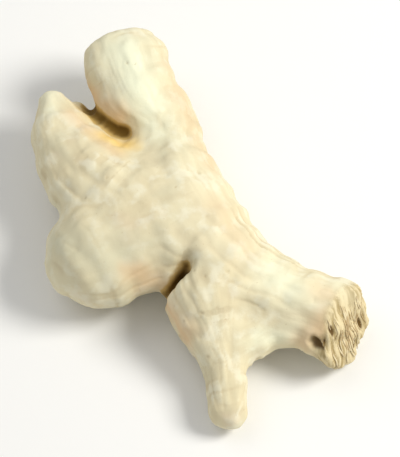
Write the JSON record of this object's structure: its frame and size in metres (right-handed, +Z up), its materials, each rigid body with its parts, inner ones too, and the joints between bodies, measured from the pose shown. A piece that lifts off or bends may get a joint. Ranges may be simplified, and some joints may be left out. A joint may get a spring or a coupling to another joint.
{
  "type": "dried ginger root",
  "caption": "Whole dried ginger root: a branched, knobbly rhizome that lies flat, with a torn neck where it was snapped off its parent root.",
  "frame": {"origin": "centre of the bounding box, on the plane that the root rests on", "axes": "+Z up from the surface it lies on, +Y along its length towards the blunt upper knob, +X towards the snapped neck"},
  "size_m": [0.0533, 0.0672, 0.0167],
  "materials": {
    "ginger_skin": "dry, chalky cream skin with tan creases and a fibrous tan break"
  },
  "bodies": {
    "root": {"ginger_rhizome": "ginger_skin"}
  },
  "joints": []
}
